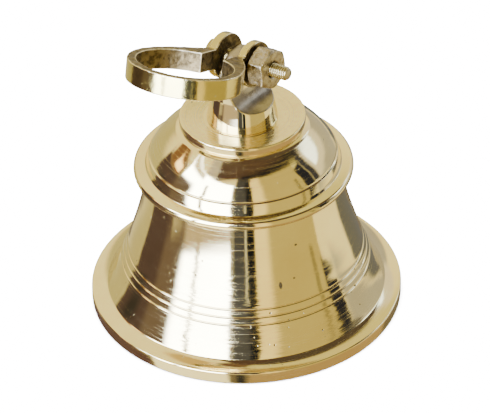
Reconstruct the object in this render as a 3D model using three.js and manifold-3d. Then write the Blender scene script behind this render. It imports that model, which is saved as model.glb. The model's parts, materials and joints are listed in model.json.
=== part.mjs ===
// Temple bell with a bolted shackle, millimetres, +Z up. The origin is the centre of the mouth, on the plane that
// the lip stands on. The shackle's bolt lies roughly along X with its nut at +X, and the shackle lies towards -Y.

import * as THREE from 'three';
import { mergeVertices } from 'three/addons/utils/BufferGeometryUtils.js';
import Module from 'manifold-3d';

const wasm = await Module();
wasm.setup();

const GAP = 0.3; // clearance between pieces that touch
const deg = THREE.MathUtils.degToRad;

// Bell body: outside radii and heights
const LIP_R = 75;
const LIP_TOP_Z = 6.1;
const WAIST_FOOT = { r: 67.4, z: 7.3 };
const WAIST = [[63.4, 14], [59.8, 22.4], [56.8, 29.2], [54.6, 36], [52.1, 44], [49.9, 52], [48.1, 60], [46.2, 69.6]];
const WAIST_LINES_Z = [22.4, 25.7, 29.2];
const FLANGE_R = 52.2;
const FLANGE_Z = 73.4;
const FLANGE_HALF = 2.3;
const DOME_FOOT = { r: 46, z: 76.4 };
const DOME_BAND = { r: 44.6, z: 81.2 };
const DOME = [[42.6, 84.5], [40.4, 87.5], [37.7, 90.5], [34.6, 93.5], [31.1, 96.7]];
const DISC_R = 29.8;
const DISC_BOTTOM_Z = 97.5;
const DISC_TOP_Z = 101.9;
const DISC_DISH = 1.2;
const LINE_DEPTH = 0.35;
const LINE_HALF = 0.45;

// Bell body: inside
const MOUTH_R = 67;
const BOW_R = 62;
const BOW_Z = 8;
const WALL = 4.6;
const BOW_EXTRA = 0.4;
const CROWN_IN_Z = 96.5;
const CROWN_IN_R = 22;
const DOME_INSIDE = [[27.5, 94], [33.5, 88.5], [38.2, 82.5], [40.4, 76]];

// Crown knob
const NECK_FOOT_R = 16.8;
const NECK_R = 16;
const NECK_TOP_R = 14.2;
const NECK_Z = DISC_TOP_Z - DISC_DISH + GAP;
const NECK_TOP_Z = 119;
const TANG_TOP_Z = 138.2;
const TANG_HALF = 3.9;
const SCALLOP_R = 11.5;
const SCALLOP_Z = 122;
const FILED_ANGLE = -30;
const FILED_Y = -14.6;
const STUD_R = 4;
const STUD_TOP_Z = 111;

// Shackle, bolt and nut
const BOLT_Z = 131.9;
const BOLT_TILT = 5;
const SHACKLE_REST = 17.5;
const BOLT_R = 3.4;
const BOLT_HOLE_R = 3.8;
const TANG_HOLE_R = 4.1;
const EAR_R = 11;
const EAR_FRONT = [5.1, 9.1];
const EAR_BACK = [-12.1, -7.3];
const STRAP_W = 9.8;
const STRAP_T = 4.2;
const LOOP = { x: -1.85, s: 40.5, rx: 27.9, rs: 24.3 };
const LEG_START = 11.5;
const HEAD_T = 5;
const HEAD_FLATS = 12;
const NUT_START = 10.3;
const NUT_T = 8.8;
const NUT_FLATS = 17.8;
const BOLT_END = 27.4;

// Clapper and its hanger
const WASHER = { r: 13, t: 1.6 };
const CROWN_NUT = { flats: 13, t: 4.5 };
const EYE = { ring: 5.9, wire: 2.1 };
const LINK = { ring: 6.8, wire: 1.9 };
const ROD_R = 3.2;
const BALL_R = 18.5;
const BALL_Z = 20;
const JAM_NUT = { flats: 12, t: 4 };

const washerZ = CROWN_IN_Z - GAP - WASHER.t;
const crownNutZ = washerZ - GAP - CROWN_NUT.t;
const eyeZ = crownNutZ - GAP - EYE.ring - EYE.wire;
const linkPivotZ = eyeZ - EYE.ring;
const linkZ = linkPivotZ + EYE.wire + GAP + LINK.wire - LINK.ring;
const rodPivotZ = linkZ - LINK.ring;
const rodEyeZ = rodPivotZ + LINK.wire + GAP + EYE.wire - EYE.ring;

// A closed geometry as a manifold solid: vertices merged, collapsed triangles dropped.
function solidOf(geometry) {
  const bare = geometry.index ? geometry.toNonIndexed() : geometry.clone();
  bare.deleteAttribute('normal');
  bare.deleteAttribute('uv');
  const merged = mergeVertices(bare, 1e-4);
  const corners = merged.index.array;
  const triVerts = [];
  for (let i = 0; i < corners.length; i += 3) {
    const [a, b, c] = [corners[i], corners[i + 1], corners[i + 2]];
    if (a !== b && b !== c && c !== a) triVerts.push(a, b, c);
  }
  return new wasm.Manifold(new wasm.Mesh({
    numProp: 3,
    vertProperties: new Float32Array(merged.attributes.position.array),
    triVerts: new Uint32Array(triVerts),
  }));
}

function geometryOf(solid) {
  const mesh = solid.getMesh();
  const geometry = new THREE.BufferGeometry();
  geometry.setAttribute('position', new THREE.BufferAttribute(new Float32Array(mesh.vertProperties), 3));
  geometry.setIndex(new THREE.BufferAttribute(new Uint32Array(mesh.triVerts), 1));
  geometry.computeVertexNormals();
  return geometry;
}

// A solid turned about Z from [radius, height] points, which run up the outside.
function turned(points, segments = 48) {
  const profile = points.map(([r, z]) => new THREE.Vector2(r, z));
  return solidOf(new THREE.LatheGeometry(profile, segments).rotateX(Math.PI / 2));
}

// The same, turned about X.
function turnedAlongX(points, segments = 32) {
  const profile = points.map(([r, x]) => new THREE.Vector2(r, x));
  return solidOf(new THREE.LatheGeometry(profile, segments).rotateZ(-Math.PI / 2));
}

function cylinderAlongX(radius, from, to, segments = 28) {
  const length = to - from;
  const geometry = new THREE.CylinderGeometry(radius, radius, length, segments).rotateZ(-Math.PI / 2);
  return solidOf(geometry.translate((from + to) / 2, 0, 0));
}

// A hexagonal prism about Z with chamfered corners, from height 0 to t.
function hexBlank(flats, t) {
  const corner = flats / Math.sqrt(3);
  const prism = solidOf(new THREE.CylinderGeometry(corner, corner, t, 6).rotateX(Math.PI / 2).translate(0, 0, t / 2));
  const low = flats / 2 - 0.2;
  const rise = (corner - low) * 0.58;
  const cone = turned([[0, 0], [low, 0], [corner + 0.1, rise], [corner + 0.1, t - rise], [low, t], [0, t]], 24);
  return prism.intersect(cone);
}

function hexNut(flats, t, bore) {
  const hole = solidOf(new THREE.CylinderGeometry(bore, bore, t + 2, 20).rotateX(Math.PI / 2).translate(0, 0, t / 2));
  return hexBlank(flats, t).subtract(hole);
}

// Turns a solid made about Z so that its axis lies along X and starts at x, with a corner of a hexagon upwards.
function laidAlongX(solid, x) {
  return solid.rotate([0, 0, 30]).rotate([0, 90, 0]).translate([x, 0, 0]);
}

function circleArc(centreR, centreZ, radius, from, to, steps) {
  const points = [];
  for (let i = 0; i <= steps; i += 1) {
    const angle = deg(from + ((to - from) * i) / steps);
    points.push([centreR + radius * Math.cos(angle), centreZ + radius * Math.sin(angle)]);
  }
  return points;
}

// The waist's outside radius at a height, on a smooth curve through its stations.
const waistCurve = new THREE.SplineCurve(
  [[WAIST_FOOT.r, WAIST_FOOT.z], ...WAIST].map(([r, z]) => new THREE.Vector2(r, z)),
);
const waistPoints = waistCurve.getPoints(160);
function waistRadius(z) {
  const above = waistPoints.findIndex((p) => p.y >= z);
  const [low, high] = [waistPoints[Math.max(above - 1, 0)], waistPoints[above]];
  const share = high.y > low.y ? (z - low.y) / (high.y - low.y) : 0;
  return low.x + (high.x - low.x) * share;
}

function waistOutside() {
  const points = [[WAIST_FOOT.r, WAIST_FOOT.z], [65.4, 10.2], [63.2, 14.4]];
  for (const z of WAIST_LINES_Z) {
    points.push([waistRadius(z - LINE_HALF), z - LINE_HALF]);
    points.push([waistRadius(z) - LINE_DEPTH, z]);
    points.push([waistRadius(z + LINE_HALF), z + LINE_HALF]);
  }
  for (const z of [36, 44, 52, 60, 69.6]) points.push([waistRadius(z), z]);
  return points;
}

function waistInside() {
  const points = [];
  for (const z of [66, 54, 42, 31, 22, 15]) {
    const thicker = BOW_EXTRA * Math.max(0, 1 - z / 40);
    points.push([waistRadius(z) - WALL - thicker, z]);
  }
  return points;
}

function bellBody() {
  const outside = [
    [MOUTH_R, 0],
    [LIP_R - 0.5, 0],
    [LIP_R, 0.6],
    [LIP_R, LIP_TOP_Z - 0.8],
    [LIP_R - 0.8, LIP_TOP_Z],
    ...waistOutside(),
    ...circleArc(FLANGE_R - FLANGE_HALF, FLANGE_Z, FLANGE_HALF, -90, 90, 5),
    [DOME_FOOT.r, DOME_FOOT.z],
    [DOME_BAND.r, DOME_BAND.z],
    [DOME_BAND.r - LINE_DEPTH - 0.3, DOME_BAND.z + 0.5],
    [DOME_BAND.r - 0.2, DOME_BAND.z + 1],
    ...DOME,
    [DISC_R - 1.3, DISC_BOTTOM_Z],
    [DISC_R - 0.5, DISC_BOTTOM_Z + 0.3],
    [DISC_R, DISC_BOTTOM_Z + 1.2],
    [DISC_R, DISC_TOP_Z - 0.6],
    [DISC_R - 0.7, DISC_TOP_Z],
    [DISC_R - 3, DISC_TOP_Z - 0.2],
    [NECK_FOOT_R + 1.5, DISC_TOP_Z - DISC_DISH],
    [STUD_R + GAP, DISC_TOP_Z - DISC_DISH],
  ];
  const inside = [
    [STUD_R + GAP, CROWN_IN_Z],
    [CROWN_IN_R, CROWN_IN_Z],
    ...DOME_INSIDE,
    ...waistInside(),
    [BOW_R, BOW_Z],
  ];
  return turned([...outside, ...inside, [MOUTH_R, 0]]);
}

// The neck and tang: a turned blank with a concave scallop cut down each side, a cross hole and a filed front edge.
function crownKnob() {
  const blank = turned([
    [0, STUD_TOP_Z + 1],
    [STUD_R + GAP, STUD_TOP_Z + 1],
    [STUD_R + GAP, NECK_Z],
    [NECK_FOOT_R, NECK_Z],
    [NECK_FOOT_R, NECK_Z + 0.5],
    [NECK_R, NECK_Z + 1.8],
    [15.4, NECK_Z + 5],
    [14.6, NECK_Z + 11],
    [NECK_TOP_R, NECK_TOP_Z],
    [13.8, 124],
    [12.6, 129],
    [10.2, 133.2],
    [6, 136.9],
    [0, TANG_TOP_Z],
  ], 36);
  const cutter = new THREE.Shape();
  cutter.moveTo(TANG_HALF, TANG_TOP_Z + 5);
  cutter.lineTo(TANG_HALF, SCALLOP_Z);
  cutter.absarc(TANG_HALF + SCALLOP_R, SCALLOP_Z, SCALLOP_R, Math.PI, Math.PI * 1.5, false);
  cutter.lineTo(TANG_HALF + SCALLOP_R + 10, SCALLOP_Z - SCALLOP_R);
  cutter.lineTo(TANG_HALF + SCALLOP_R + 10, TANG_TOP_Z + 5);
  const slab = new THREE.ExtrudeGeometry(cutter, { depth: 60, bevelEnabled: false, curveSegments: 8 });
  const sideCut = solidOf(slab.translate(0, 0, -30).rotateX(Math.PI / 2));
  const hole = cylinderAlongX(TANG_HOLE_R, -20, 20).rotate([0, -BOLT_TILT, 0]).translate([0, 0, BOLT_Z]);
  const file = solidOf(new THREE.BoxGeometry(20, 8, 24)).rotate([FILED_ANGLE, 0, 0]).translate([0, FILED_Y, BOLT_Z]);
  return blank.subtract(sideCut).subtract(sideCut.rotate([0, 0, 180])).subtract(hole).subtract(file);
}

// The omega strap in its own frame: bolt axis along X through the origin, loop towards -Y, strap width along Z.
function shackleStrap() {
  const inner = { rx: LOOP.rx - STRAP_T, rs: LOOP.rs - STRAP_T };
  const cusp = (x) => Math.acos((x - LOOP.x) / inner.rx);
  const legJoin = deg(28);
  const outline = new THREE.Shape();
  outline.moveTo(EAR_FRONT[1], 0);
  outline.lineTo(EAR_FRONT[1], -LEG_START);
  outline.quadraticCurveTo(19.5, -21, LOOP.x + LOOP.rx * Math.cos(legJoin), -LOOP.s + LOOP.rs * Math.sin(legJoin));
  outline.absellipse(LOOP.x, -LOOP.s, LOOP.rx, LOOP.rs, legJoin, Math.PI - legJoin, true);
  outline.quadraticCurveTo(-22.1, -21, EAR_BACK[0], -LEG_START);
  outline.lineTo(EAR_BACK[0], 0);
  outline.lineTo(EAR_BACK[1], 0);
  outline.absellipse(LOOP.x, -LOOP.s, inner.rx, inner.rs, cusp(EAR_BACK[1]), cusp(EAR_FRONT[0]), false);
  outline.lineTo(EAR_FRONT[0], 0);
  outline.closePath();
  const strap = new THREE.ExtrudeGeometry(outline, { depth: STRAP_W, bevelEnabled: false, curveSegments: 22 });
  return solidOf(strap.translate(0, 0, -STRAP_W / 2));
}

function shackle() {
  const frontEar = cylinderAlongX(EAR_R, ...EAR_FRONT);
  const backEar = cylinderAlongX(EAR_R, ...EAR_BACK);
  const hole = cylinderAlongX(BOLT_HOLE_R, -20, 20);
  return shackleStrap().add(frontEar).add(backEar).subtract(hole);
}

function shackleBolt() {
  const headFace = EAR_BACK[0] - GAP;
  const shank = turnedAlongX([
    [0, headFace - 1], [BOLT_R, headFace - 1], [BOLT_R, BOLT_END - 0.8], [BOLT_R - 0.8, BOLT_END], [0, BOLT_END],
  ], 20);
  return shank.add(laidAlongX(hexBlank(HEAD_FLATS, HEAD_T), headFace - HEAD_T));
}

function ring(size, z, axis) {
  const torus = new THREE.TorusGeometry(size.ring, size.wire, 8, 22);
  if (axis === 'x') torus.rotateY(Math.PI / 2);
  if (axis === 'y') torus.rotateX(Math.PI / 2);
  return solidOf(torus.translate(0, 0, z));
}

function clapperEyebolt() {
  const shankFoot = eyeZ + EYE.ring - 0.8;
  const shank = turned([
    [0, shankFoot], [STUD_R - 1, shankFoot], [STUD_R, shankFoot + 1.2], [STUD_R, STUD_TOP_Z - 0.8],
    [STUD_R - 0.8, STUD_TOP_Z], [0, STUD_TOP_Z],
  ], 24);
  return ring(EYE, eyeZ, 'x').add(shank);
}

function crownWasher() {
  const { r, t } = WASHER;
  const bore = STUD_R + GAP;
  return turned([[bore, washerZ], [r, washerZ], [r, washerZ + t], [bore, washerZ + t], [bore, washerZ]], 36);
}

function clapperRod() {
  const rodTop = rodEyeZ - EYE.ring + 0.8;
  const rodEnd = BALL_Z - BALL_R + 0.9;
  const shank = turned([
    [0, rodEnd], [ROD_R - 0.5, rodEnd], [ROD_R, rodEnd + 0.5], [ROD_R, rodTop - 3], [ROD_R - 0.8, rodTop], [0, rodTop],
  ], 24);
  return ring(EYE, rodEyeZ, 'x').add(shank);
}

function clapperBall() {
  const bore = ROD_R + GAP;
  const start = (Math.acos(bore / BALL_R) * 180) / Math.PI;
  const side = circleArc(0, BALL_Z, BALL_R, -start, start, 12);
  return turned([...side, side[0]], 28);
}

function material(colour, roughness) {
  return new THREE.MeshStandardMaterial({ color: colour, roughness, metalness: 1 });
}

function piece(name, solid, look) {
  const mesh = new THREE.Mesh(geometryOf(solid), look);
  mesh.name = name;
  return mesh;
}

const polishedBrass = material(0xd9c07a, 0.12);
const castBrass = material(0xb59a4c, 0.35);
const nutBrass = material(0xa8977a, 0.55);
const clapperBrass = material(0xb8965a, 0.4);

const bell = new THREE.Group();
bell.add(piece('bell_body', bellBody(), polishedBrass));
bell.add(piece('crown_knob', crownKnob(), polishedBrass));
bell.add(piece('crown_washer', crownWasher(), clapperBrass));
bell.add(piece('clapper_eyebolt', clapperEyebolt(), clapperBrass));
bell.add(piece('clapper_link', ring(LINK, linkZ, 'y'), clapperBrass));
bell.add(piece('clapper_rod', clapperRod(), clapperBrass));
bell.add(piece('clapper_ball', clapperBall(), clapperBrass));

const crownNut = piece('crown_nut', hexNut(CROWN_NUT.flats, CROWN_NUT.t, STUD_R + GAP), nutBrass);
crownNut.position.z = crownNutZ;
bell.add(crownNut);

const jamNut = piece('clapper_jam_nut', hexNut(JAM_NUT.flats, JAM_NUT.t, ROD_R + GAP), nutBrass);
jamNut.position.z = BALL_Z + BALL_R + GAP;
bell.add(jamNut);

// The bolt's axis rises towards the nut, and the shackle turns about it.
const boltAxis = new THREE.Group();
boltAxis.position.z = BOLT_Z;
boltAxis.rotation.y = -deg(BOLT_TILT);
bell.add(boltAxis);

boltAxis.add(piece('shackle_bolt', shackleBolt(), castBrass));
boltAxis.add(piece('shackle_nut', laidAlongX(hexNut(NUT_FLATS, NUT_T, BOLT_R + GAP), NUT_START), nutBrass));
const loop = piece('shackle', shackle(), castBrass);
loop.rotation.x = -deg(SHACKLE_REST);
boltAxis.add(loop);

export default bell;
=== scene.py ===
import json
import math

import bmesh
import bpy
from mathutils import Matrix, Vector, noise


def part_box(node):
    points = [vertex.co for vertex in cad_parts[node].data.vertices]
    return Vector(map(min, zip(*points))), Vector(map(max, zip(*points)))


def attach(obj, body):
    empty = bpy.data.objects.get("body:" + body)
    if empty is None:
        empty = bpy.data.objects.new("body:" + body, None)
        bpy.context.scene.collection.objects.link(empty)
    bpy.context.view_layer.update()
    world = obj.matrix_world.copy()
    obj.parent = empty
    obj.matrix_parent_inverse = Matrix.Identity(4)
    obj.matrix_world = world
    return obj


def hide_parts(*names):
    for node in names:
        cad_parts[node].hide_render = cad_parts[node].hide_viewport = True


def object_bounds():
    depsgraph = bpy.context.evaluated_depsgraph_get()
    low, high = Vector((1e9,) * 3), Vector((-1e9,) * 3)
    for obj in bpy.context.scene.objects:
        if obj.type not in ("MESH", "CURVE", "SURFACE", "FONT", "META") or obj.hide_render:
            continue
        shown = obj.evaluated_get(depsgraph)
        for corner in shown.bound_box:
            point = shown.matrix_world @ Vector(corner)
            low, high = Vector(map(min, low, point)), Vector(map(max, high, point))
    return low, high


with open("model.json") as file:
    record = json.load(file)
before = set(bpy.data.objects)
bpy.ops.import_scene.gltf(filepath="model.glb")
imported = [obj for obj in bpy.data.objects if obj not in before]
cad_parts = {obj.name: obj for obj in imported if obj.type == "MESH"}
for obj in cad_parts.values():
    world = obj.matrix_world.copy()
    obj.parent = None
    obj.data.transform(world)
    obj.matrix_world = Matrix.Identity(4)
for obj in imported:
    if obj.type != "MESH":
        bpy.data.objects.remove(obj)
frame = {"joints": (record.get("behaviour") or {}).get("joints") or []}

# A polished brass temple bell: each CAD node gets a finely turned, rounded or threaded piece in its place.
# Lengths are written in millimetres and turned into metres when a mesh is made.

cad_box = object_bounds()
MM = 0.001

joints = {j["name"]: j for j in frame["joints"]}
swing = joints["shackle_swing"]
BOLT_CENTRE = Vector(swing["pos_m"]) / MM
BOLT_TILT = math.atan2(swing["axis"][2], swing["axis"][0])
SHACKLE_REST = math.radians(17.5)


def span(node):
    """Lowest and highest corner of a CAD node in millimetres."""
    low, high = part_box(node)
    return low / MM, high / MM


# ---------------------------------------------------------------- outlines

def rounded(corners, steps=6):
    """An outline through (r, z, radius) corners, each rounded off by its radius."""
    points = []
    count = len(corners)
    for i, (r, z, radius) in enumerate(corners):
        corner = Vector((r, z))
        if radius == 0:
            points.append((r, z))
            continue
        before = Vector(corners[i - 1][:2]) - corner
        after = Vector(corners[(i + 1) % count][:2]) - corner
        half = before.angle(after) / 2
        reach = min(radius / math.tan(half), before.length * 0.48, after.length * 0.48)
        start = corner + before.normalized() * reach
        end = corner + after.normalized() * reach
        for k in range(steps + 1):
            t = k / steps
            p = start * (1 - t) ** 2 + corner * 2 * t * (1 - t) + end * t ** 2
            points.append((p.x, p.y))
    return points


def smooth_line(stations, z_list):
    """Radii at the heights of z_list on a smooth curve through (r, z) stations, which rise in z."""
    zs = [z for _, z in stations]
    rs = [r for r, _ in stations]
    slopes = []
    for i in range(len(zs)):
        a, b = max(i - 1, 0), min(i + 1, len(zs) - 1)
        slopes.append((rs[b] - rs[a]) / (zs[b] - zs[a]))
    found = []
    for z in z_list:
        i = 0
        while i < len(zs) - 2 and z > zs[i + 1]:
            i += 1
        h = zs[i + 1] - zs[i]
        t = (z - zs[i]) / h
        found.append(
            (2 * t ** 3 - 3 * t ** 2 + 1) * rs[i] + (t ** 3 - 2 * t ** 2 + t) * h * slopes[i]
            + (3 * t ** 2 - 2 * t ** 3) * rs[i + 1] + (t ** 3 - t ** 2) * h * slopes[i + 1])
    return found


def steps_between(low, high, step):
    count = max(1, round((high - low) / step))
    return [low + (high - low) * i / count for i in range(count + 1)]


# ---------------------------------------------------------------- meshes

def make_object(name, verts, faces):
    mesh = bpy.data.meshes.new(name)
    mesh.from_pydata([tuple(c * MM for c in v) for v in verts], [], faces)
    bm = bmesh.new()
    bm.from_mesh(mesh)
    bmesh.ops.recalc_face_normals(bm, faces=bm.faces)
    bm.to_mesh(mesh)
    bm.free()
    obj = bpy.data.objects.new(name, mesh)
    bpy.context.scene.collection.objects.link(obj)
    return obj


def grid_faces(rings, closed):
    faces = []
    pairs = list(zip(rings, rings[1:])) + ([(rings[-1], rings[0])] if closed else [])
    for a, b in pairs:
        n = max(len(a), len(b))
        for k in range(n):
            m = (k + 1) % n
            if len(a) == 1:
                faces.append((a[0], b[m], b[k]))
            elif len(b) == 1:
                faces.append((a[k], a[m], b[0]))
            else:
                faces.append((a[k], a[m], b[m], b[k]))
    return faces


def turned(name, outline, segments):
    """An outline of (radius, height) turned about Z. Its arc length is kept as the attribute turn."""
    verts, rings, lengths = [], [], []
    travelled, last = 0.0, outline[0]
    for r, z in outline:
        travelled += math.hypot(r - last[0], z - last[1])
        last = (r, z)
        count = 1 if r < 1e-6 else segments
        rings.append(range(len(verts), len(verts) + count))
        for k in range(count):
            angle = math.tau * k / segments
            verts.append((r * math.cos(angle), r * math.sin(angle), z))
            lengths.append(travelled)
    closed = outline[0][0] > 1e-6
    obj = make_object(name, verts, grid_faces(rings, closed))
    attribute = obj.data.attributes.new("turn", "FLOAT", "POINT")
    attribute.data.foreach_set("value", lengths)
    return obj


def torus(name, ring, wire, axis, z, around=96, across=28):
    verts, rings = [], []
    for i in range(around):
        a = math.tau * i / around
        rings.append(range(len(verts), len(verts) + across))
        for k in range(across):
            b = math.tau * k / across
            reach = ring + wire * math.cos(b)
            u, v, w = reach * math.cos(a), reach * math.sin(a), wire * math.sin(b)
            verts.append((w, u, v + z) if axis == "x" else (u, w, v + z))
    return make_object(name, verts, grid_faces(rings, True))


def extruded(name, outline, low, high, place):
    """A flat outline pushed through from low to high; place turns (u, v, w) into x, y, z."""
    n = len(outline)
    verts = [place(u, v, low) for u, v in outline] + [place(u, v, high) for u, v in outline]
    faces = [tuple(range(n)), tuple(range(n, 2 * n))]
    faces += [(k, (k + 1) % n, (k + 1) % n + n, k + n) for k in range(n)]
    return make_object(name, verts, faces)


def finished_mesh(obj):
    """Applies the modifiers of an object."""
    bpy.context.view_layer.update()
    mesh = bpy.data.meshes.new_from_object(obj.evaluated_get(bpy.context.evaluated_depsgraph_get()))
    obj.modifiers.clear()
    old = obj.data
    obj.data = mesh
    bpy.data.meshes.remove(old)
    return obj


def combine(base, other, operation):
    modifier = base.modifiers.new("combine", "BOOLEAN")
    modifier.operation = operation
    modifier.solver = "EXACT"
    modifier.object = other
    finished_mesh(base)
    bpy.data.objects.remove(other)
    return base


def softened(obj, voxel, rounds):
    """Remeshes a solid evenly and rounds its edges, as casting and buffing do."""
    remesh = obj.modifiers.new("remesh", "REMESH")
    remesh.mode = "VOXEL"
    remesh.voxel_size = voxel * MM
    smooth = obj.modifiers.new("smooth", "SMOOTH")
    smooth.factor = 0.5
    smooth.iterations = rounds
    return finished_mesh(obj)


def mark_buffed(obj, outward_at):
    """Keeps as the attribute buffed how far each point faces its outward direction."""
    facings = [v.normal.dot(outward_at(v.co / MM)) for v in obj.data.vertices]
    shares = [min(1.0, max(0.0, (facing - 0.35) / 0.4)) for facing in facings]
    attribute = obj.data.attributes.new("buffed", "FLOAT", "POINT")
    attribute.data.foreach_set("value", shares)


def uneven(obj, size, depth, seed):
    """Moves the surface in and out by about depth, in lumps of about size, and less where it is buffed."""
    offset = Vector((seed * 3.1, seed * 1.7, seed * 2.3))
    normals = [v.normal.copy() for v in obj.data.vertices]
    buffed = obj.data.attributes.get("buffed")
    for i, (v, normal) in enumerate(zip(obj.data.vertices, normals)):
        point = v.co / (size * MM) + offset
        share = 1 - 0.85 * buffed.data[i].value if buffed else 1
        v.co += normal * (noise.noise(point) + 0.5 * noise.noise(point * 2.3)) * depth * share * MM
    return obj


def place_piece(obj, nodes, body, material):
    obj.data.update()
    obj.data.shade_smooth()
    obj.data.materials.clear()
    obj.data.materials.append(material)
    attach(obj, body)
    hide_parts(*nodes)
    return obj


# ---------------------------------------------------------------- materials

def node(tree, kind, inputs=None, **settings):
    made = tree.nodes.new(kind)
    for key, value in settings.items():
        setattr(made, key, value)
    for key, value in (inputs or {}).items():
        socket = made.inputs[key]
        if isinstance(value, bpy.types.NodeSocket):
            tree.links.new(value, socket)
        else:
            socket.default_value = value
    return made


def ramp(tree, factor, stops):
    made = node(tree, "ShaderNodeValToRGB", {"Fac": factor})
    elements = made.color_ramp.elements
    while len(elements) > 1:
        elements.remove(elements[-1])
    for i, (position, colour) in enumerate(stops):
        element = elements[0] if i == 0 else elements.new(position)
        element.position = position
        element.color = (*colour, 1)
    return made.outputs["Color"]


def math_node(tree, operation, *values):
    return node(tree, "ShaderNodeMath", dict(enumerate(values)), operation=operation).outputs[0]


def vector_node(tree, operation, *values):
    return node(tree, "ShaderNodeVectorMath", dict(enumerate(values)), operation=operation).outputs[0]


def grey(value):
    return (value, value, value)


DIRT = (0.05, 0.035, 0.015, 1)
SHALLOW_DIRT = (0.10, 0.07, 0.03, 1)
# Painted shade: a dark brown laid into concave creases, partly dirt and partly the shade that falls there.
CREVICE_DIRT_AND_SHADE = (0.05, 0.035, 0.02, 1)
FLAW_SHADE = (0.03, 0.02, 0.01, 1)
# Painted highlight: a pale brass laid along sharp edges, partly real wear and partly the glint that edges
# catch.
WORN_EDGE_AND_GLINT = (0.93, 0.84, 0.55, 1)


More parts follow.
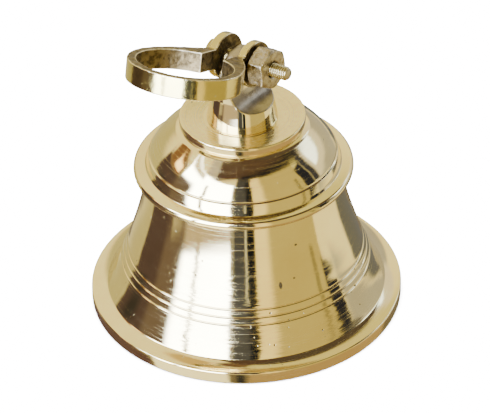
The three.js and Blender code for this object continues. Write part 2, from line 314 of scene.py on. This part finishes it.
def brass(name, colour, tarnish, roughness, line_depth=0.0, pit_scale=0.0, grain_depth=0.0,
          grain_scale=500, cavities=0.5, dull=None, worn=0.0, flaws=()):
    """Brass with cloudy tarnish, turning lines along the attribute turn, small casting pits and a grain.

    With dull, a second colour, the surface is dull and rough where the attribute buffed is 0. worn
    brightens its edges with a colour that is partly wear and partly a painted highlight, and darkens
    its creases with a colour that is partly dirt and partly painted shade; flaws are single casting
    holes, each a centre and its half sizes.
    """
    material = bpy.data.materials.new(name)
    material.use_nodes = True
    tree = material.node_tree
    shader = tree.nodes["Principled BSDF"]
    shader.inputs["Metallic"].default_value = 1.0
    place = node(tree, "ShaderNodeTexCoord").outputs["Object"]
    clouds = node(tree, "ShaderNodeTexNoise", {
        "Vector": place, "Scale": 38.0, "Detail": 5.0, "Roughness": 0.6})
    tone = ramp(tree, clouds.outputs["Fac"], [(0.3, colour), (0.75, tarnish)])
    specks = node(tree, "ShaderNodeTexNoise", {"Vector": place, "Scale": 420.0, "Detail": 4.0})
    rough = ramp(tree, specks.outputs["Fac"], [
        (0.3, grey(roughness * 0.75)), (0.7, grey(roughness * 1.5))])
    normal = None

    def bumped(height, depth, strength=1.0, invert=False):
        bump = node(tree, "ShaderNodeBump", {
            "Height": height, "Distance": depth * MM, "Strength": strength}, invert=invert)
        if normal:
            tree.links.new(normal, bump.inputs["Normal"])
        return bump.outputs["Normal"]

    def mixed(factor, a, b):
        mix = node(tree, "ShaderNodeMix", {"Factor": factor, "A": a, "B": b}, data_type="RGBA")
        return mix.outputs["Result"]

    if line_depth:
        length = node(tree, "ShaderNodeAttribute", attribute_name="turn").outputs["Fac"]
        parts = node(tree, "ShaderNodeSeparateXYZ", {"Vector": place})

        def streaks(around, along):
            where = node(tree, "ShaderNodeCombineXYZ", {
                0: math_node(tree, "MULTIPLY", parts.outputs["X"], around),
                1: math_node(tree, "MULTIPLY", parts.outputs["Y"], around),
                2: math_node(tree, "MULTIPLY", length, along)}).outputs[0]
            return node(tree, "ShaderNodeTexNoise", {
                "Vector": where, "Scale": 1.0, "Detail": 6.0, "Roughness": 0.7}).outputs["Fac"]

        lines = streaks(22.0, 3.2)
        normal = bumped(lines, line_depth)
        scratched = ramp(tree, lines, [(0.52, grey(0.0)), (0.66, grey(0.22))])
        rough = math_node(tree, "ADD", rough, scratched)
        rubbed = node(tree, "ShaderNodeTexNoise", {
            "Vector": place, "Scale": 22.0, "Detail": 3.0}).outputs["Fac"]
        hazed = ramp(tree, rubbed, [(0.5, grey(0.0)), (0.7, grey(0.08))])
        rough = math_node(tree, "ADD", rough, hazed)
        sway = math_node(tree, "SUBTRACT", streaks(60.0, 1.5), 0.5)
        sway_share = ramp(tree, rubbed, [(0.5, grey(0.008)), (0.66, grey(0.2))])
        sway = math_node(tree, "MULTIPLY", sway, sway_share)
        tangent = node(tree, "ShaderNodeTangent", direction_type="RADIAL", axis="Z").outputs["Tangent"]
        tilt = node(tree, "ShaderNodeVectorMath", {0: tangent, "Scale": sway}, operation="SCALE").outputs[0]
        normal = vector_node(tree, "NORMALIZE", vector_node(tree, "ADD", normal, tilt))
    if pit_scale:
        cells = node(tree, "ShaderNodeTexVoronoi", {"Vector": place, "Scale": pit_scale, "Randomness": 1.0})
        sparse = node(tree, "ShaderNodeTexNoise", {"Vector": place, "Scale": 31.0, "Detail": 2.0})
        pit_size = ramp(tree, sparse.outputs["Fac"], [(0.52, grey(0.0)), (0.72, grey(0.16))])
        from_rim = math_node(tree, "SUBTRACT", cells.outputs["Distance"], pit_size)
        pit = ramp(tree, from_rim, [(0.0, grey(1.0)), (0.03, grey(0.0))])
        tone = mixed(pit, tone, DIRT)
        normal = bumped(pit, 0.1, invert=True)
    for centre, half_sizes in flaws:
        away = vector_node(tree, "SUBTRACT", place, Vector(centre) * MM)
        away = vector_node(tree, "DIVIDE", away, Vector(half_sizes) * MM)
        away = node(tree, "ShaderNodeVectorMath", {0: away}, operation="LENGTH").outputs["Value"]
        hole = ramp(tree, away, [(0.7, grey(0.9)), (1.0, grey(0.0))])
        tone = mixed(hole, tone, FLAW_SHADE)
        rough = math_node(tree, "MULTIPLY_ADD", hole, 0.5, rough)
    if grain_depth:
        grain = node(tree, "ShaderNodeTexNoise", {
            "Vector": place, "Scale": grain_scale, "Detail": 7.0, "Roughness": 0.65}).outputs["Fac"]
        strength = 1.0
        hollow = ramp(tree, grain, [(0.40, grey(cavities)), (0.54, grey(0.0))])
        if dull:
            buffed = node(tree, "ShaderNodeAttribute", attribute_name="buffed").outputs["Fac"]
            tone = mixed(buffed, mixed(hollow, (*dull, 1), DIRT), tone)
            unbuffed = ramp(tree, buffed, [(0.0, grey(0.25)), (1.0, grey(0.0))])
            rough = math_node(tree, "ADD", rough, unbuffed)
            strength = ramp(tree, buffed, [(0.0, grey(1.0)), (1.0, grey(0.1))])
        else:
            tone = mixed(hollow, tone, SHALLOW_DIRT)
        normal = bumped(grain, grain_depth, strength)
    if worn:
        point = node(tree, "ShaderNodeNewGeometry").outputs["Pointiness"]
        # Brighter along sharp edges: partly wear, partly a painted highlight.
        edge = ramp(tree, point, [(0.508, grey(0.0)), (0.54, grey(worn))])
        tone = mixed(edge, tone, WORN_EDGE_AND_GLINT)
        # Darker in concave creases: partly dirt, partly painted shade.
        crevice_dirt_and_shade = ramp(tree, point, [(0.43, grey(0.8)), (0.485, grey(0.0))])
        tone = mixed(crevice_dirt_and_shade, tone, CREVICE_DIRT_AND_SHADE)
    tree.links.new(tone, shader.inputs["Base Color"])
    tree.links.new(rough, shader.inputs["Roughness"])
    if normal:
        tree.links.new(normal, shader.inputs["Normal"])
    return material


# Single casting flaws on the waist and shoulder, about where the photographed bell has them: centre and
# half sizes.
BODY_FLAWS = [
    ((44, -30.5, 39), (1, 1, 2.6)),
    ((45, -19.5, 56.5), (0.8, 0.8, 0.6)),
    ((47, -24, 41), (0.7, 0.7, 0.5)),
    ((46, -15.5, 53.5), (0.6, 0.6, 0.6)),
    ((43, -12, 74.5), (0.7, 0.7, 0.9)),
]

polished = brass(
    "brass_polished", (0.90, 0.79, 0.41), (0.82, 0.68, 0.33), 0.03, line_depth=0.007, pit_scale=230,
    grain_depth=0.04, grain_scale=450, cavities=0.15, dull=(0.76, 0.65, 0.34), flaws=BODY_FLAWS)
knob_brass = brass(
    "brass_knob", (0.86, 0.76, 0.42), (0.70, 0.60, 0.34), 0.045,
    grain_depth=0.05, grain_scale=260, cavities=0.3, dull=(0.36, 0.31, 0.22))
cast = brass(
    "brass_cast", (0.70, 0.60, 0.22), (0.50, 0.42, 0.14), 0.12, pit_scale=300,
    grain_depth=0.4, grain_scale=330, cavities=0.8, dull=(0.21, 0.16, 0.07), worn=1.0)
rough_cast = brass(
    "brass_rough_cast", (0.46, 0.40, 0.27), (0.30, 0.25, 0.15), 0.28, pit_scale=350,
    grain_depth=0.22, grain_scale=450, worn=0.5)
bolt_brass = brass(
    "brass_bolt", (0.50, 0.42, 0.17), (0.36, 0.29, 0.11), 0.2,
    grain_depth=0.08, grain_scale=800, dull=(0.15, 0.12, 0.05), worn=0.5)
clapper_brass = brass(
    "brass_clapper", (0.70, 0.59, 0.27), (0.50, 0.40, 0.17), 0.24, line_depth=0.05, pit_scale=240)
wire_brass = brass(
    "brass_wire", (0.68, 0.56, 0.25), (0.46, 0.36, 0.15), 0.26,
    grain_depth=0.06, grain_scale=600, worn=0.4)

# ---------------------------------------------------------------- bell body

WAIST = [(67.4, 7.3), (65.5, 10.2), (63.3, 14.2), (59.8, 22.4), (56.8, 29.2), (54.6, 36),
         (52.1, 44), (49.9, 52), (48.1, 60), (46.2, 69.6)]
LINES_Z = (22.4, 25.7, 29.2)
DOME = [(44.1, 82.2), (42.6, 84.5), (40.4, 87.5), (37.7, 90.5), (34.6, 93.5), (31.1, 96.7)]
INSIDE = [(62.0, 8), (58.1, 15), (54.9, 22), (51.3, 31), (48.1, 42), (44.8, 54), (42.2, 66), (40.4, 76)]
LINE_DEPTH, LINE_WIDTH = 0.36, 0.3
LIP_HEIGHT, LIP_WIDTH, LIP_OFFSET = 0.05, 0.25, 0.75
FLANGE_R, FLANGE_Z, FLANGE_ROUND = 49.9, 73.4, 2.3
DISC_R, DISC_TOP, DISC_DISH = 29.8, 101.9, 1.2
CROWN_HOLE_R, CROWN_UNDERSIDE = 4.3, 96.5


def bell_outline():
    heights = steps_between(WAIST[0][1], WAIST[-1][1], 0.9)
    for line in LINES_Z:
        heights += steps_between(line - 0.9, line + 0.9, 0.12)
    heights = sorted(set(round(z, 3) for z in heights))
    waist = []
    for r, z in zip(smooth_line(WAIST, heights), heights):
        cut = sum(math.exp(-((z - line) / LINE_WIDTH) ** 2) for line in LINES_Z)
        lips = [line + side * LIP_OFFSET for line in LINES_Z for side in (-1, 1)]
        lift = sum(math.exp(-((z - lip) / LIP_WIDTH) ** 2) for lip in lips)
        waist.append((r - LINE_DEPTH * cut + LIP_HEIGHT * lift, z))
    flange = [(FLANGE_R + FLANGE_ROUND * math.cos(a), FLANGE_Z + FLANGE_ROUND * math.sin(a))
              for a in (math.radians(-84 + 168 * k / 18) for k in range(19))]
    dome_heights = steps_between(DOME[0][1], DOME[-1][1], 0.7)
    dome = list(zip(smooth_line(DOME, dome_heights), dome_heights))
    inner_heights = steps_between(INSIDE[0][1], INSIDE[-1][1], 2.0)
    inner = list(zip(smooth_line(INSIDE, inner_heights), inner_heights))
    corners = [(67, 0, 0.5), (75, 0, 0.7), (75, 6.1, 0.9)]
    corners += [(r, z, 0) for r, z in waist]
    corners += [(r, z, 0) for r, z in flange]
    corners += [(46.6, 75.9, 0.5), (45.9, 77.0, 0.6), (44.8, 81.0, 0.35), (44.0, 81.6, 0.25)]
    corners += [(r, z, 0) for r, z in dome]
    corners += [(28.5, 97.45, 0.5), (DISC_R, 98.1, 0.7), (DISC_R, DISC_TOP, 0.8)]
    corners += [(DISC_R - 3, DISC_TOP - 0.25, 1.5), (18.4, DISC_TOP - DISC_DISH, 1.5)]
    corners += [(CROWN_HOLE_R, DISC_TOP - DISC_DISH, 0.1), (CROWN_HOLE_R, CROWN_UNDERSIDE, 0.2)]
    corners += [(22, CROWN_UNDERSIDE, 3), (33.5, 88.5, 5), (40.0, 79, 4)]
    corners += [(r, z, 0) for r, z in reversed(inner)]
    return rounded(corners)


body_piece = turned("bell_turned_body", bell_outline(), 224)
mark_buffed(body_piece, lambda p: Vector((p.x, p.y, 0.8 * math.hypot(p.x, p.y))).normalized())
place_piece(body_piece, ["bell_body"], "bell", polished)

# ---------------------------------------------------------------- crown knob

knob_low, knob_high = span("crown_knob")
neck_z = knob_low.z
TANG_HALF, SCALLOP_R, SCALLOP_Z = 3.9, 11.5, 122.0
THREAD_HOLE_R, THREAD_HOLE_TOP, CROSS_HOLE_R = 4.3, 112, 4.1
FOOT_SUNK = 0.35
NECK = [(16.9, neck_z - FOOT_SUNK, 0.1), (15.3, neck_z + 8, 3), (14.3, neck_z + 14, 3), (14.2, 119, 1),
        (13.8, 124, 3), (12.6, 129, 3), (10.2, 133.2, 3), (6, 136.9, 3)]
FILED_Y, FILED_LEAN = -14.6, math.radians(-30)


def along_bolt(obj, turn=0.0):
    """Places a solid made about the X axis on the bolt."""
    tilt = Matrix.Rotation(-BOLT_TILT, 4, "Y")
    obj.data.transform(Matrix.Translation(BOLT_CENTRE * MM) @ tilt @ Matrix.Rotation(turn, 4, "X"))
    return obj


def rod_along_x(name, radius, start, end, segments=72):
    rod = turned(name, [(0, start), (radius, start), (radius, end), (0, end)], segments)
    rod.data.transform(Matrix.Rotation(math.pi / 2, 4, "Y"))
    return rod


blind_hole = [(0, THREAD_HOLE_TOP, 0), (THREAD_HOLE_R, THREAD_HOLE_TOP, 0), (THREAD_HOLE_R, NECK[0][1], 0)]
knob = turned("crown_scalloped_knob", rounded(blind_hole + NECK + [(0, knob_high.z, 0)]), 120)
scallop = [(TANG_HALF, 150), (TANG_HALF, SCALLOP_Z)]
scallop += [(TANG_HALF + SCALLOP_R - SCALLOP_R * math.cos(a), SCALLOP_Z - SCALLOP_R * math.sin(a))
            for a in (math.radians(90 * k / 24) for k in range(1, 25))]
scallop += [(40, SCALLOP_Z - SCALLOP_R), (40, 150)]
for side in (1, -1):
    cutter = extruded("cutter", scallop, -30, 30, lambda u, v, w, side=side: (side * u, w, v))
    combine(knob, cutter, "DIFFERENCE")
combine(knob, along_bolt(rod_along_x("cutter", CROSS_HOLE_R, -20, 20)), "DIFFERENCE")
filed_flat = extruded("cutter", [(-12, -4), (12, -4), (12, 4), (-12, 4)], -10, 10, lambda u, v, w: (w, v, u))
filed_place = Matrix.Translation(Vector((0, FILED_Y, BOLT_CENTRE.z)) * MM)
filed_flat.data.transform(filed_place @ Matrix.Rotation(FILED_LEAN, 4, "X"))
combine(knob, filed_flat, "DIFFERENCE")
softened(knob, 0.28, 8)
mark_buffed(knob, lambda p: Vector((p.x, p.y, -0.5 * math.hypot(p.x, p.y))).normalized())
uneven(knob, 9.0, 0.05, 1)
place_piece(knob, ["crown_knob"], "bell", knob_brass)

# ---------------------------------------------------------------- shackle, bolt and nut

EAR_FRONT, EAR_BACK = (5.1, 9.1), (-12.1, -7.3)
LOOP_X, LOOP_S, LOOP_RX, LOOP_RS = -1.85, 40.5, 27.9, 24.3
STRAP_T, STRAP_W, LEG_START, LEG_END = 4.2, 9.8, 11.5, 21
EAR_R, EAR_HOLE_R = 11.0, 3.8


def arc_points(rx, rs, start, end, count):
    return [(LOOP_X + rx * math.cos(a), -LOOP_S + rs * math.sin(a))
            for a in (start + (end - start) * k / count for k in range(count + 1))]


def bend_points(a, b, c, count=14):
    return [tuple(a[i] * (1 - t) ** 2 + 2 * b[i] * t * (1 - t) + c[i] * t * t for i in (0, 1))
            for t in (k / count for k in range(1, count))]


def strap_outline():
    join = math.radians(28)
    outer = arc_points(LOOP_RX, LOOP_RS, join, -math.pi - join, 120)
    inner_rx, inner_rs = LOOP_RX - STRAP_T, LOOP_RS - STRAP_T
    back = math.acos((EAR_BACK[1] - LOOP_X) / inner_rx)
    front = math.acos((EAR_FRONT[0] - LOOP_X) / inner_rx)
    inner = arc_points(inner_rx, inner_rs, back, math.tau + front, 120)
    line = [(EAR_FRONT[1], 0), (EAR_FRONT[1], -LEG_START)]
    line += bend_points((EAR_FRONT[1], -LEG_START), (19.5, -LEG_END), outer[0]) + outer
    line += bend_points(outer[-1], (-22.1, -LEG_END), (EAR_BACK[0], -LEG_START))
    line += [(EAR_BACK[0], -LEG_START), (EAR_BACK[0], 0), (EAR_BACK[1], 0)]
    return line + inner + [(EAR_FRONT[0], 0)]


half_width = STRAP_W / 2
strap = extruded("shackle_strap_loop", strap_outline(), -half_width, half_width, lambda u, v, w: (u, v, w))
for ear in (EAR_FRONT, EAR_BACK):
    combine(strap, rod_along_x("ear", EAR_R, *ear, segments=96), "UNION")
combine(strap, rod_along_x("cutter", EAR_HOLE_R, -20, 20), "DIFFERENCE")
softened(strap, 0.32, 7)


def strap_outward(p):
    """The outward direction of the ears' rims, of the legs and of the loop, before the strap is turned."""
    if p.y > -LEG_START:
        return Vector((0, p.y, p.z)).normalized()
    if p.y > -LEG_END:
        return Vector((math.copysign(1, p.x), 0, 0))
    return Vector(((p.x - LOOP_X) / LOOP_RX ** 2, (p.y + LOOP_S) / LOOP_RS ** 2, 0)).normalized()


mark_buffed(strap, strap_outward)
uneven(strap, 3.5, 0.13, 2)
along_bolt(strap, -SHACKLE_REST)
place_piece(strap, ["shackle"], "shackle", cast)


def hexagon(name, flats, thick, bore, segments=216, worn=0.25):
    """A chamfered hexagon about Z from 0 to thick, with corners every 60 degrees from X."""
    corner = flats / math.sqrt(3)
    low = flats / 2 - 0.25
    verts, rings, columns = [], [], []
    for k in range(segments):
        angle = math.tau * k / segments
        off = (angle % (math.pi / 3)) - math.pi / 6
        r = min(flats / 2 / math.cos(off), corner - worn)
        rise = max(0.0, r - low) * 0.58
        column = [(low - 0.5, 0), (low, 0.05), (r, rise), (r, thick / 2)]
        column += [(r, thick - rise), (low, thick - 0.05), (low - 0.5, thick)]
        if bore:
            column += [(bore + 0.7, thick), (bore, thick - 0.7), (bore, 0.7), (bore + 0.7, 0)]
        else:
            column += [(0.02, thick), (0.02, 0)]
        columns.append(column)
    for i in range(len(columns[0])):
        rings.append(range(len(verts), len(verts) + segments))
        for k in range(segments):
            angle = math.tau * k / segments
            r, z = columns[k][i]
            verts.append((r * math.cos(angle), r * math.sin(angle), z))
    faces = grid_faces(rings, bool(bore))
    if not bore:
        faces += [tuple(rings[0]), tuple(rings[-1])]
    return make_object(name, verts, faces)


def lay_along_x(obj, start):
    obj.data.transform(Matrix.Translation((start * MM, 0, 0)) @ Matrix.Rotation(math.pi / 2, 4, "Y"))
    return obj


NUT_START, NUT_T, NUT_FLATS, NUT_BORE_R = 10.3, 8.8, 17.8, 3.7
BOLT_R, BOLT_END, HEAD_T, HEAD_FLATS, HEAD_GAP = 3.4, 27.4, 5, 12, 0.3
nut = hexagon("shackle_cast_nut", NUT_FLATS, NUT_T, NUT_BORE_R)
softened(nut, 0.22, 6)
uneven(nut, 3.0, 0.14, 3)
along_bolt(lay_along_x(nut, NUT_START))
place_piece(nut, ["shackle_nut"], "shackle", rough_cast)


def threaded_rod(name, radius, start, end, thread_from, pitch=1.25, depth=0.55, segments=64):
    """A rod about Z with a rounded helical thread from thread_from to its end."""
    verts, rings = [], []
    stations = [start] + steps_between(thread_from - 0.2, end - 0.5, pitch / 9) + [end - 0.2, end]
    for z in stations:
        rings.append(range(len(verts), len(verts) + segments))
        taper = max(0.0, (z - (end - 1.0))) * 0.75
        fade = min(1.0, max(0.0, (z - thread_from) / 1.5))
        for k in range(segments):
            phase = (z / pitch - k / segments) % 1.0
            wave = abs(phase * 2 - 1)
            groove = depth * fade * min(1.0, wave * 1.5)
            r = max(0.8, min(radius - groove, radius - taper))
            angle = math.tau * k / segments
            verts.append((r * math.cos(angle), r * math.sin(angle), z))
    faces = grid_faces(rings, False) + [tuple(rings[0]), tuple(rings[-1])]
    return make_object(name, verts, faces)


head_face = EAR_BACK[0] - HEAD_GAP
bolt = threaded_rod("shackle_threaded_bolt", BOLT_R, head_face - 2, BOLT_END, 4.0)
bolt.data.transform(Matrix.Rotation(math.pi / 2, 4, "Y"))
head = hexagon("head", HEAD_FLATS, HEAD_T, 0)
softened(head, 0.25, 6)
lay_along_x(head, head_face - HEAD_T)
combine(bolt, head, "UNION")
mark_buffed(bolt, lambda p: Vector((0, p.y, p.z)).normalized())
along_bolt(bolt)
place_piece(bolt, ["shackle_bolt"], "shackle", bolt_brass)

# ---------------------------------------------------------------- clapper and its hanger

washer_low, washer_high = span("crown_washer")
washer_r, washer_bore = washer_high.x, CROWN_HOLE_R
washer = turned("crown_round_washer", rounded([
    (washer_bore, washer_low.z, 0.2), (washer_r, washer_low.z, 0.5),
    (washer_r, washer_high.z, 0.5), (washer_bore, washer_high.z, 0.2)]), 96)
place_piece(washer, ["crown_washer"], "bell", clapper_brass)


def standing_nut(name, node_name, body, flats, bore):
    low, high = span(node_name)
    obj = hexagon(name, flats, high.z - low.z, bore)
    softened(obj, 0.2, 4)
    uneven(obj, 2.5, 0.05, 4)
    obj.data.transform(Matrix.Translation((0, 0, low.z * MM)))
    return place_piece(obj, [node_name], body, rough_cast)


standing_nut("crown_hex_nut", "crown_nut", "bell", 13, 4.3)
standing_nut("clapper_hex_jam_nut", "clapper_jam_nut", "clapper", 12, 3.5)

EYE_RING, EYE_WIRE = 5.9, 2.1
LINK_RING, LINK_WIRE = 6.8, 1.9
EYE_OVERLAP, EYEBOLT_R, STEM_R, STEM_NECK_R = 0.8, 4.0, 3.2, 2.4
eye_low, eye_high = span("clapper_eyebolt")
eyebolt = torus("clapper_hanger_eyebolt", EYE_RING, EYE_WIRE, "x", eye_low.z + EYE_RING + EYE_WIRE)
shank_foot = eye_low.z + 2 * EYE_RING + EYE_WIRE - EYE_OVERLAP
shank = threaded_rod("shank", EYEBOLT_R, shank_foot, eye_high.z, shank_foot + 2.5)
combine(eyebolt, shank, "UNION")
softened(eyebolt, 0.2, 4)
place_piece(eyebolt, ["clapper_eyebolt"], "bell", wire_brass)

link_low, link_high = span("clapper_link")
link = torus("clapper_ring_link", LINK_RING, LINK_WIRE, "y", (link_low.z + link_high.z) / 2)
uneven(link, 4.0, 0.08, 5)
place_piece(link, ["clapper_link"], "clapper_link", wire_brass)

rod_low, rod_high = span("clapper_rod")
rod = torus("clapper_eyed_rod", EYE_RING, EYE_WIRE, "x", rod_high.z - EYE_RING - EYE_WIRE)
rod_top = rod_high.z - 2 * EYE_RING - EYE_WIRE + EYE_OVERLAP
stem = turned("stem", rounded([
    (0, rod_low.z, 0), (STEM_R, rod_low.z, 0.6), (STEM_R, rod_top - 3, 2),
    (STEM_NECK_R, rod_top, 0.3), (0, rod_top, 0)]), 64)
combine(rod, stem, "UNION")
softened(rod, 0.2, 4)
place_piece(rod, ["clapper_rod"], "clapper", wire_brass)

ball_low, ball_high = span("clapper_ball")
ball_r = ball_high.x
ball_z = (ball_low.z + ball_high.z) / 2
BALL_BORE_R, BALL_STEPS = 3.5, 96
GROOVE_DEPTH, GROOVE_ANGLE, GROOVE_WIDTH = 0.3, 0.06, 0.018
half_angle = math.acos(BALL_BORE_R / ball_r)
ball_side = []
for k in range(BALL_STEPS + 1):
    angle = -half_angle + 2 * half_angle * k / BALL_STEPS
    grooves = [math.exp(-((angle - at) / GROOVE_WIDTH) ** 2) for at in (GROOVE_ANGLE, -GROOVE_ANGLE)]
    radius = ball_r - 0.05 - GROOVE_DEPTH * sum(grooves)
    ball_side.append((radius * math.cos(angle), ball_z + radius * math.sin(angle), 0))
ball = turned("clapper_turned_ball", rounded(ball_side), 128)
place_piece(ball, ["clapper_ball"], "clapper", clapper_brass)

# ---------------------------------------------------------------- floor, light and camera

FLOOR_R, FLOOR_GAP = 9, 0.0002
FLOOR_WHITE = 0.9

floor_mesh = bpy.data.meshes.new("floor")
floor_bm = bmesh.new()
bmesh.ops.create_circle(floor_bm, cap_ends=True, radius=FLOOR_R, segments=96)
floor_bm.to_mesh(floor_mesh)
floor_bm.free()
floor = bpy.data.objects.new("floor", floor_mesh)
floor.location.z = cad_box[0].z - FLOOR_GAP
bpy.context.scene.collection.objects.link(floor)
paper = bpy.data.materials.new("pale_floor")
paper.use_nodes = True
paper_shader = paper.node_tree.nodes["Principled BSDF"]
paper_shader.inputs["Base Color"].default_value = (*grey(FLOOR_WHITE), 1)
paper_shader.inputs["Roughness"].default_value = 0.9
floor_mesh.materials.append(paper)

# The soft panels and flags that the polished brass mirrors, later ones in front of earlier ones:
# (bearings, heights, light, edge softness), all but the light in degrees. They stand for the room round
# the photographed bell: their edges and light were fitted to its reflections, then rounded.
PANELS = [
    ((-200, -118), (-30, 12), (0.85, 0.74, 0.34), 12),
    ((-200, -90), (64, 78), (1.0, 0.7, 0.25), 5),
    ((-200, 200), (80, 100), (0.2, 0.12, 0.07), 4),
    ((20, 200), (36, 100), (1.15, 1.0, 0.4), 10),
    ((90, 180), (-14, 14), (0.7, 0.65, 0.55), 6),
    ((96, 150), (8, 38), (1.4, 1.25, 1.0), 6),
    ((103, 135), (18, 34), (3.5, 4.0, 5.0), 4),
    ((120, 180), (-32, -16), (0.2, 0.2, 0.2), 5),
    ((8, 79), (-35, 60), (0.85, 0.68, 0.24), 1),
    ((8, 24), (-35, 60), (1.9, 1.5, 0.65), 8),
    ((67, 71), (-14, 30), (0.45, 0.36, 0.14), 1),
    ((77, 89), (-11, 38), (0.03, 0.03, 0.05), 1.5),
    ((89, 98), (8, 60), (0.06, 0.06, 0.09), 5),
    ((-87, -13), (-14, 46), (20, 22, 30), 1),
    ((-87, -60), (40, 46), (1.5, 1.3, 0.9), 4),
    ((-52, -48), (-14, 36), (0.9, 0.8, 0.6), 1),
    ((-72, -14), (-32, -12), (0.9, 0.7, 0.45), 4),
    ((-62, -38), (46, 60), (0.9, 0.8, 0.7), 5),
    ((-120, -84), (-29, 21), (0.12, 0.08, 0.08), 4),
    ((-112, -100), (-12, 6), (0.06, 0.05, 0.05), 9),
    ((-90, -66), (-20, 28), (0.22, 0.16, 0.13), 8),
    ((-117, -90), (20, 36), (0.35, 0.18, 0.08), 3),
    ((-105, -93), (24, 31), (5, 3.6, 2), 3),
    ((-16, -10), (-16, 46), (0.5, 0.45, 0.35), 1),
    ((-12, 9.5), (-16, 62), (0.1, 0.1, 0.12), 1),
    ((2, 9.5), (-16, 50), (0.015, 0.015, 0.02), 1),
    ((-0.5, 1), (-16, 1), (1.5, 1.4, 1.0), 0.5),
    ((-200, 200), (-95, -30), (0.25, 0.2, 0.13), 3),
    ((0, 120), (-95, -30), (0.65, 0.44, 0.2), 4),
    ((-155, -78), (-95, -30), (0.17, 0.1, 0.1), 4),
    ((-75, -15), (-95, -30), (2.4, 2.2, 1.5), 4),
    ((-9, -3), (-50, -30), (0.05, 0.05, 0.05), 3),
]
# Overhead flags with an arched lower edge: the same, with heights above the arch.
ARCHED = [
    ((-45, 128), (2, 70), (0.13, 0.08, 0.06), 3),
    ((50, 128), (8, 70), (0.12, 0.09, 0.07), 12),
    ((-4, 130), (0, 4), (0.03, 0.025, 0.03), 1),
]
ARCH_TOP, ARCH_MIDDLE, ARCH_SPREAD = 53, 15, 20
ROOM_LIGHT = (1.75, 1.5, 0.8, 1)

TOP_LIGHT_SIZE, TOP_LIGHT_HEIGHT, TOP_LIGHT_WATTS = 2.2, 2.4, 1500

# The camera's place, fitted to the photographed outline.
CAMERA_AZIMUTH = math.radians(38)
CAMERA_RISE = math.radians(35.54)
CAMERA_ROLL = math.radians(-1.4)
CAMERA_DISTANCE = 1.6
CAMERA_TARGET = Vector((-10.7, 14.0, 35.8))
SENSOR_WIDTH, LENS = 36, 242.7

towards = Vector((math.sin(CAMERA_AZIMUTH), -math.cos(CAMERA_AZIMUTH), 0))
across = Vector((math.cos(CAMERA_AZIMUTH), math.sin(CAMERA_AZIMUTH), 0))

world = bpy.data.worlds.new("studio")
bpy.context.scene.world = world
world.use_nodes = True
sky = world.node_tree
background = sky.nodes["Background"]
direction = node(sky, "ShaderNodeTexCoord").outputs["Generated"]
side_part = node(sky, "ShaderNodeVectorMath", {0: direction, 1: across}, operation="DOT_PRODUCT")
back_part = node(sky, "ShaderNodeVectorMath", {0: direction, 1: towards}, operation="DOT_PRODUCT")
rise_part = node(sky, "ShaderNodeSeparateXYZ", {"Vector": direction}).outputs["Z"]
bearing = math_node(sky, "ARCTAN2", side_part.outputs["Value"], back_part.outputs["Value"])
bearing = math_node(sky, "MULTIPLY", bearing, math.degrees(1))
elevation = math_node(sky, "MULTIPLY", math_node(sky, "ARCSINE", rise_part), math.degrees(1))


def within(angle, low, high, soft):
    """1 between two angles in degrees and 0 outside, with soft edges."""
    offset = math_node(sky, "ABSOLUTE", math_node(sky, "SUBTRACT", angle, (low + high) / 2))
    half = (high - low) / 2
    return node(sky, "ShaderNodeMapRange", {
        "Value": offset, "From Min": half + soft / 2, "From Max": half - soft / 2},
        interpolation_type="SMOOTHSTEP").outputs["Result"]


def panel(under, height, bearings, heights, colour, soft):
    """A soft-edged panel round the bell. Bearing 0 is towards the camera, and + is to its right."""
    mask = math_node(sky, "MULTIPLY", within(bearing, *bearings, soft), within(height, *heights, soft))
    mix = node(sky, "ShaderNodeMix", {"Factor": mask, "A": under, "B": (*colour, 1)}, data_type="RGBA")
    return mix.outputs["Result"]


aside = math_node(sky, "SUBTRACT", bearing, ARCH_MIDDLE)
aside = math_node(sky, "DIVIDE", aside, ARCH_SPREAD)
above = math_node(sky, "SUBTRACT", elevation, ARCH_TOP)
above = math_node(sky, "MULTIPLY_ADD", aside, aside, above)
room = ROOM_LIGHT
for panels, height in ((PANELS, elevation), (ARCHED, above)):
    for bearings, heights, colour, soft in panels:
        room = panel(room, height, bearings, heights, colour, soft)
sky.links.new(room, background.inputs["Color"])

top_light = bpy.data.lights.new("top_softbox", "AREA")
top_light.shape = "DISK"
top_light.size = TOP_LIGHT_SIZE
top_light.energy = TOP_LIGHT_WATTS
top = bpy.data.objects.new("top_softbox", top_light)
top.location = (0, 0, TOP_LIGHT_HEIGHT)
top.visible_glossy = False
floor.visible_glossy = False
bpy.context.scene.collection.objects.link(top)

camera = bpy.data.objects.new("camera", bpy.data.cameras.new("camera"))
camera.data.sensor_width = SENSOR_WIDTH
camera.data.lens = LENS
facing = Matrix.Rotation(CAMERA_AZIMUTH, 4, "Z") @ Matrix.Rotation(math.pi / 2 - CAMERA_RISE, 4, "X")
backed_off = Matrix.Rotation(CAMERA_ROLL, 4, "Z") @ Matrix.Translation((0, 0, CAMERA_DISTANCE))
camera.matrix_world = Matrix.Translation(CAMERA_TARGET * MM) @ facing @ backed_off
camera.data.clip_end = 100
bpy.context.scene.collection.objects.link(camera)
bpy.context.scene.camera = camera
